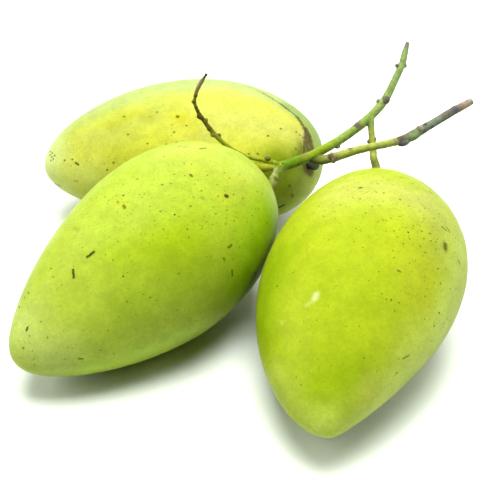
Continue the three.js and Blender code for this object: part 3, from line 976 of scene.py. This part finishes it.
def sweep(mesh, stations):
    """Extrudes a closed bar along the stations of a branch."""
    ring = bmesh.ops.create_circle(mesh, cap_ends=True, segments=BRANCH_SIDES, radius=1)["verts"]
    turn = Quaternion((1, 0, 0, 0))
    heading = Vector((0, 0, 1))
    pose = Matrix.Identity(4)
    for i, station in enumerate(stations):
        if i:
            edges = {e for v in ring for e in v.link_edges if e.is_boundary or i == 1}
            edges = [e for e in edges if all(v in ring for v in e.verts)]
            made = bmesh.ops.extrude_edge_only(mesh, edges=edges)["geom"]
            ring = [part for part in made if isinstance(part, bmesh.types.BMVert)]
        ahead = stations[min(i + 1, len(stations) - 1)].place - stations[max(i - 1, 0)].place
        turn = heading.rotation_difference(ahead) @ turn
        heading = ahead.normalized()
        uneven = 1 + GIRTH_CHANGE * noise.noise(station.place / GIRTH_SPAN)
        girth = Matrix.Scale(station.thickness / 2 * uneven, 4)
        wanted = Matrix.Translation(station.place) @ turn.to_matrix().to_4x4() @ girth
        bmesh.ops.transform(mesh, matrix=wanted @ pose.inverted(), verts=ring)
        pose = wanted
    edges = [e for v in ring for e in v.link_edges if e.is_boundary]
    bmesh.ops.contextual_create(mesh, geom=list(set(edges)))


def pedicel_points(name, form):
    """The points of a pedicel down to its end inside the fruit."""
    points = list(PEDICELS[name])
    tone = points[-1].tone
    steps = ((-PEDICEL_RUN, PEDICEL_NECK), (0, PEDICEL_FOOT), (SOCKET_DEPTH, PEDICEL_FOOT))
    for distance, thickness in steps:
        points.append(Point(*(form.seat + form.inward * distance), thickness, tone))
    return points


def fuse(mesh, voxel):
    """Melts overlapping bars and knobs into one skin."""
    data = bpy.data.meshes.new("stalk_parts")
    mesh.to_mesh(data)
    mesh.free()
    rough = bpy.data.objects.new("stalk_parts", data)
    bpy.context.scene.collection.objects.link(rough)
    remesh = rough.modifiers.new("Fuse", "REMESH")
    remesh.mode = "VOXEL"
    remesh.voxel_size = voxel
    fused = bmesh.new()
    fused.from_object(rough, bpy.context.evaluated_depsgraph_get())
    bpy.data.objects.remove(rough)
    bpy.data.meshes.remove(data)
    return fused


def paint_bark(made, branches):
    """Stores the bark's colour on the mesh, from the branch and the knob that each place is nearest to."""
    stations = [s for branch in branches.values() for s in branch]
    tree = KDTree(len(stations))
    for i, station in enumerate(stations):
        tree.insert(station.place, i)
    tree.balance()
    stains = [(Vector(knob[1:4]), max(knob.radius, knob.half), bark_tone(knob)) for knob in KNOBS]
    stains += [(Vector(scar[:3]), scar.radius, bark_tone(scar)) for scar in SCARS]
    layer = made.data.color_attributes.new("Bark", "FLOAT_COLOR", "POINT")
    for vertex, cell in zip(made.data.vertices, layer.data):
        place = vertex.co / MM
        near = tree.find_n(place, 3)
        weights = [1 / (TONE_BLEND + distance) ** 2 for _, _, distance in near]
        tones = (stations[i].tone * weight for (_, i, _), weight in zip(near, weights))
        tone = sum(tones, Vector((0, 0, 0))) / sum(weights)
        shift = STAIN_WANDER * noise.noise(place / STAIN_SPAN)
        for centre, reach, stain in stains:
            inside = reach * STAIN_REACH - (place - centre).length - shift
            if inside > 0:
                share = min(1, inside / (reach * STAIN_EDGE))
                tone = tone.lerp(stain, STAIN_STRENGTH * share)
        cell.color = (*tone, 1)


def bark_material():
    """Green and brown bark: the painted tone, mottled, with specks and a dry grain."""
    material, tree, shader, place = new_material("mango_stalk_bark")
    tone = put(tree, "ShaderNodeVertexColor", layer_name="Bark").outputs["Color"]
    base = shaded(tree, tone, drifting(tree, clouds(tree, place, 0.55, 4.0, 0.7), *BARK_MOTTLE))
    specks = use(tree, "Skin Flecks", {"Place": place, **BARK_SPECKS}).outputs[0]
    specks = calculate(tree, "MULTIPLY", specks, SPECK_STRENGTH)
    base = tint(tree, specks, base, linear(TONES["node_brown"]))
    tree.links.new(base, shader.inputs["Base Color"])
    rough = drifting(tree, clouds(tree, place, 1.1, 2.0), *BARK_ROUGHNESS)
    tree.links.new(rough, shader.inputs["Roughness"])
    grain = clouds(tree, place, 3.0, 4.0, 0.7).outputs[0]
    bump = put(tree, "ShaderNodeBump", {"Strength": BARK_BUMP, "Distance": BARK_RELIEF, "Height": grain})
    tree.links.new(bump.outputs[0], shader.inputs["Normal"])
    for socket, value in BARK_SURFACE.items():
        shader.inputs[socket].default_value = value
    return material


class MANGO_OT_stalk(bpy.types.Operator):
    """Grows the forked stalk with its pedicels, knobs and twig"""
    bl_idname = "mango.grow_stalk"
    bl_label = "Grow the stalk"

    def execute(self, context):
        points = dict(BRANCHES)
        for name in PEDICELS:
            form = FruitForm(name, getattr(context.scene.mango_bunch, name))
            points[name] = pedicel_points(name, form)
            form.mesh.free()
        branches = {name: spline(route) for name, route in points.items()}
        parts = bmesh.new()
        for stations in branches.values():
            sweep(parts, stations)
        for knob in KNOBS:
            self.add_knob(parts, knob, branches[knob.branch])
        bmesh.ops.recalc_face_normals(parts, faces=parts.faces)
        fused = fuse(parts, STALK_VOXEL)
        for _ in range(SMOOTH_ROUNDS):
            bmesh.ops.smooth_vert(
                fused, verts=fused.verts, factor=0.5, use_axis_x=True, use_axis_y=True, use_axis_z=True)
        fused.normal_update()
        for vertex in fused.verts:
            vertex.co += vertex.normal * (BARK_HEIGHT * noise.fractal(vertex.co / BARK_SPAN, 1.0, 2.0, 3))
        stalk = to_object("forked_stalk", fused, bark_material())
        paint_bark(stalk, branches)
        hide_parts("stalk")
        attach(stalk, "root")
        return {"FINISHED"}

    @staticmethod
    def add_knob(parts, knob, stations):
        """Adds an egg-shaped knob that lies along its branch."""
        place = Vector((knob.x, knob.y, knob.z))
        nearest = min(range(1, len(stations)), key=lambda i: (stations[i].place - place).length)
        along = stations[nearest].place - stations[nearest - 1].place
        turn = Vector((0, 0, 1)).rotation_difference(along).to_matrix().to_4x4()
        form = Matrix.Diagonal((knob.radius, knob.radius, knob.half, 1))
        pose = Matrix.Translation(place) @ turn @ form
        bmesh.ops.create_icosphere(parts, subdivisions=3, radius=1, matrix=pose)


# The stage

def floor_material(settings):
    """Plain white table with the faintest unevenness."""
    material, tree, shader, place = new_material("white_table")
    shade = clouds(tree, place, FLOOR_SCALE, 2.0).outputs[0]
    base = tint(tree, shade, [FLOOR_SHADE * part for part in settings.floor], settings.floor)
    tree.links.new(base, shader.inputs["Base Color"])
    shader.inputs["Roughness"].default_value = FLOOR_ROUGHNESS
    return material


class MANGO_OT_stage(bpy.types.Operator):
    """Sets the white table, the soft lamps and the camera"""
    bl_idname = "mango.set_stage"
    bl_label = "Set the stage"

    def execute(self, context):
        scene = context.scene
        settings = scene.mango_bunch
        floor = bmesh.new()
        bmesh.ops.create_circle(floor, cap_ends=True, segments=64, radius=FLOOR_RADIUS)
        table = to_object("white_table", floor, floor_material(settings))

        world = bpy.data.worlds.new("dim_room")
        world.use_nodes = True
        back = world.node_tree.nodes["Background"]
        back.inputs["Color"].default_value = (*settings.sky_tint, 1)
        back.inputs["Strength"].default_value = settings.sky
        scene.world = world

        for name, lamp in LAMPS.items():
            light = bpy.data.lights.new(name, "AREA")
            light.size = lamp.side
            light.energy = lamp.watts * settings.light
            panel = bpy.data.objects.new(name, light)
            panel.location = lamp.place
            panel.visible_glossy = lamp.mirrored
            panel.rotation_euler = (LAMP_AIM - panel.location).to_track_quat("-Z", "Y").to_euler()
            scene.collection.objects.link(panel)

        eye, forward, _ = view_axes()
        lens = bpy.data.cameras.new("camera")
        lens.sensor_width = SENSOR_WIDTH
        lens.lens = FOCAL_PIXELS / PICTURE_WIDTH * SENSOR_WIDTH
        camera = bpy.data.objects.new("camera", lens)
        camera.location = eye * MM
        camera.rotation_euler = forward.to_track_quat("-Z", "Y").to_euler()
        scene.collection.objects.link(camera)
        scene.camera = camera
        scene.view_settings.view_transform = "Standard"
        return {"FINISHED"}


class MANGO_PT_bunch(bpy.types.Panel):
    """Lists the sizes, the colours and the steps of the bunch"""
    bl_label = "Mango bunch"
    bl_idname = "MANGO_PT_bunch"
    bl_space_type = "VIEW_3D"
    bl_region_type = "UI"
    bl_category = "Mangoes"

    def draw(self, context):
        settings = context.scene.mango_bunch
        for name in ("left", "right", "rear"):
            fruit = getattr(settings, name)
            box = self.layout.box()
            box.label(text=f"{name.capitalize()} fruit")
            for prop in ("length", "width", "thickness", "skin", "deep", "fleck"):
                box.prop(fruit, prop)
        for prop in ("floor", "light", "sky_tint", "sky"):
            self.layout.prop(settings, prop)
        for step in (MANGO_OT_stage, MANGO_OT_fruits, MANGO_OT_stalk):
            self.layout.operator(step.bl_idname)


CLASSES = (
    LeftFruitSettings, RightFruitSettings, RearFruitSettings, BunchSettings,
    MANGO_OT_fruits, MANGO_OT_stalk, MANGO_OT_stage, MANGO_PT_bunch,
)


def register():
    for cls in CLASSES:
        bpy.utils.register_class(cls)
    bpy.types.Scene.mango_bunch = PointerProperty(type=BunchSettings)


def unregister():
    del bpy.types.Scene.mango_bunch
    for cls in reversed(CLASSES):
        bpy.utils.unregister_class(cls)


def main():
    """Builds the whole scene."""
    register()
    bpy.ops.mango.set_stage()
    bpy.ops.mango.grow_fruits()
    bpy.ops.mango.grow_stalk()


if __name__ == "__main__":
    main()
